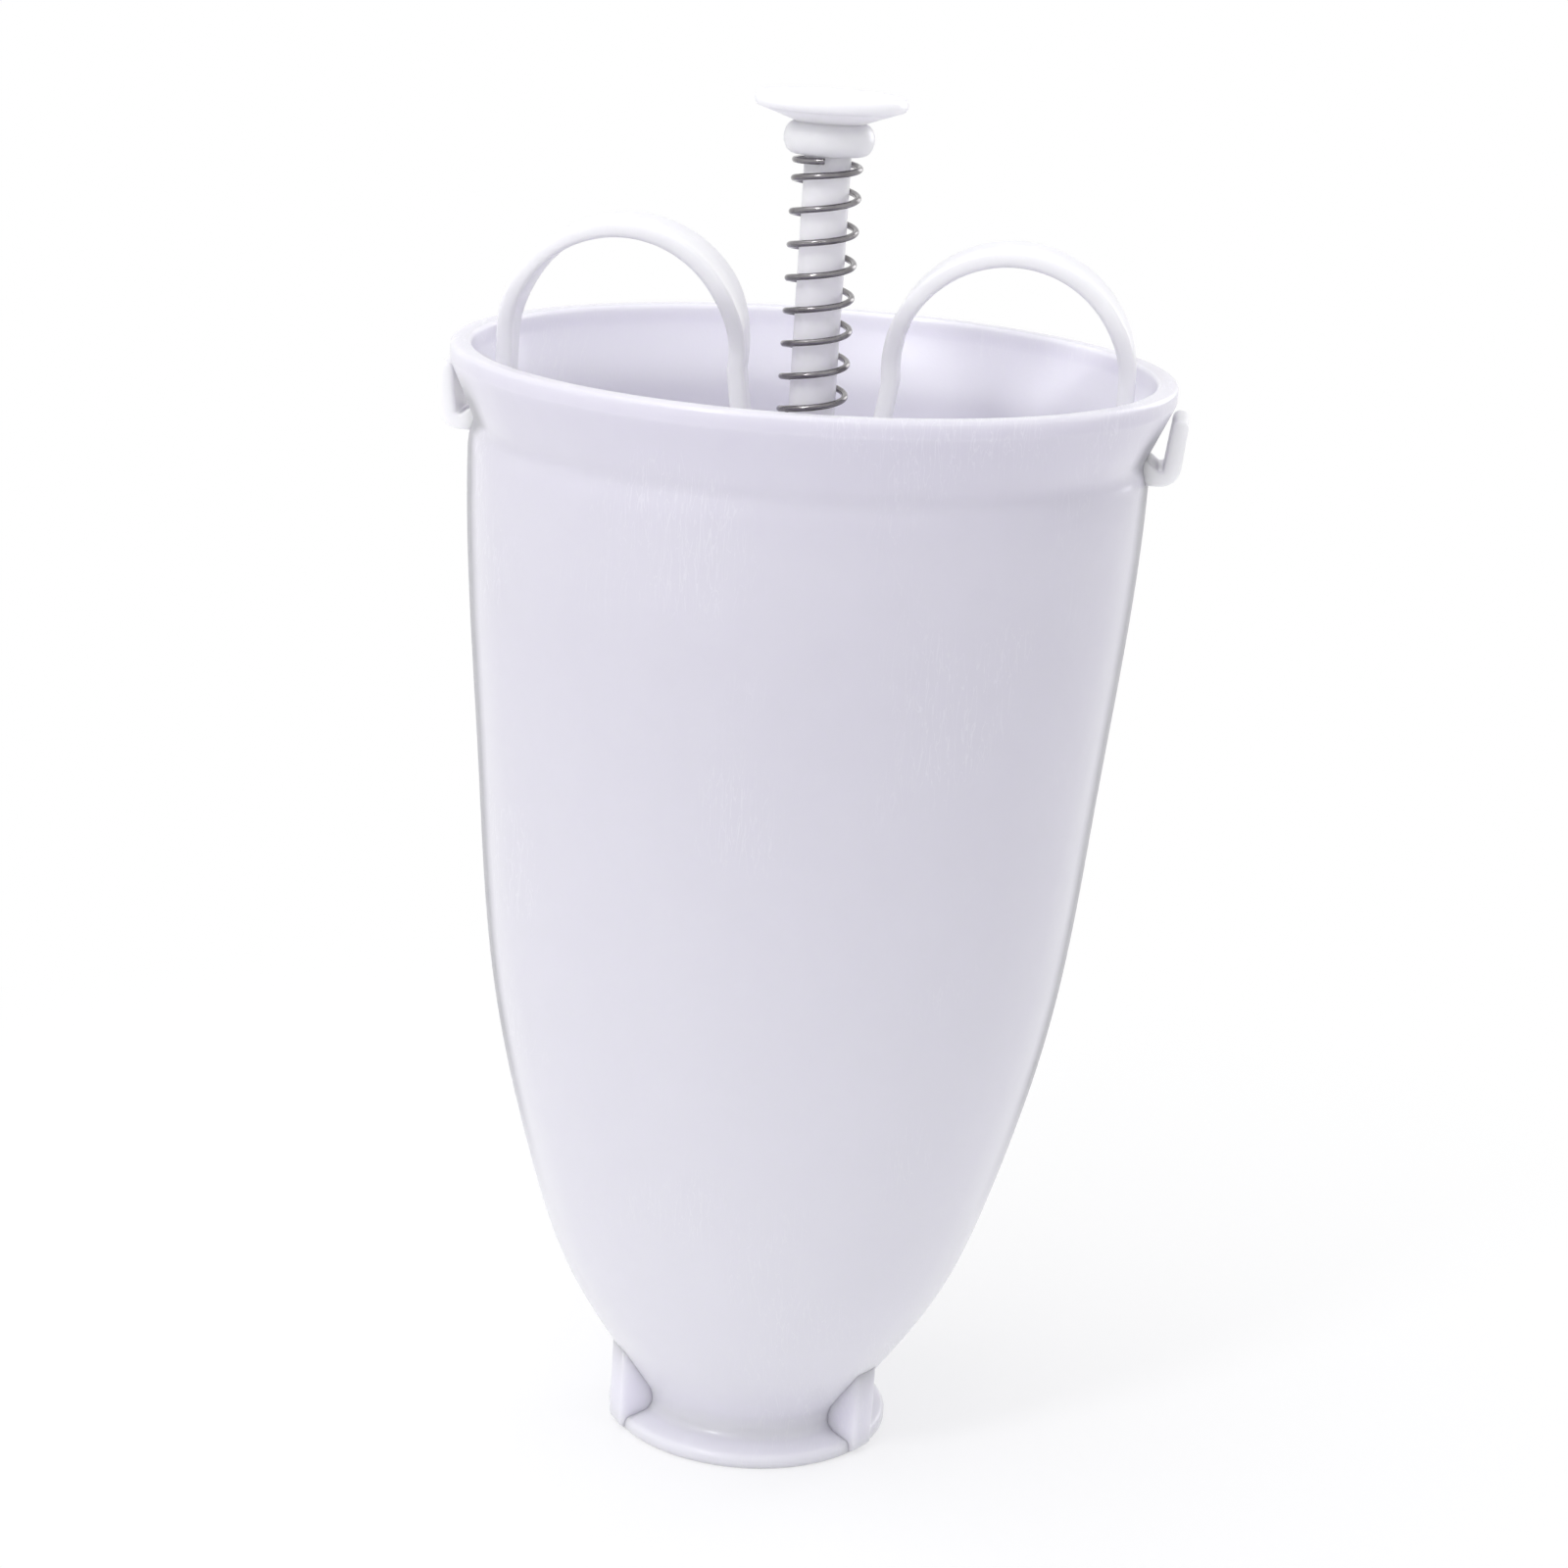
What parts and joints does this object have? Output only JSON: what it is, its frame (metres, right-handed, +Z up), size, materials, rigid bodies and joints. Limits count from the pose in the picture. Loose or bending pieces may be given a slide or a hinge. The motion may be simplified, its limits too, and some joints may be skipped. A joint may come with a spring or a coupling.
{
  "type": "batter dispenser",
  "caption": "Hand-held batter dispenser: a bullet-shaped hopper with two finger loops and a spring-loaded thumb plunger that opens a disc valve in its outlet.",
  "frame": {"origin": "centre of the foot ring's underside, which is the lowest face", "axes": "+Z up along the rod and the hopper's axis; the two finger loops and the two hooks lie along X; the picture is taken from -Y"},
  "size_m": [0.1036, 0.1, 0.1943],
  "materials": {
    "hopper_plastic": "milky white moulded plastic, soft gloss",
    "handle_plastic": "white moulded plastic, soft gloss",
    "plunger_plastic": "white moulded plastic, soft gloss",
    "spring_steel": "bright drawn steel wire"
  },
  "bodies": {
    "hopper_body": {"hopper": "hopper_plastic", "handle_bridge": "handle_plastic", "return_spring": "spring_steel"},
    "plunger": {"plunger_rod": "plunger_plastic", "thumb_button": "plunger_plastic", "forming_disc": "plunger_plastic"}
  },
  "joints": [
    {"name": "press", "type": "slide", "parent": "hopper_body", "child": "plunger", "axis": [0, 0, -1], "range_m": [0, 0.014], "stiffness_N_per_m": 1100, "springref_m": -0.005, "deforming": ["return_spring"]}
  ]
}
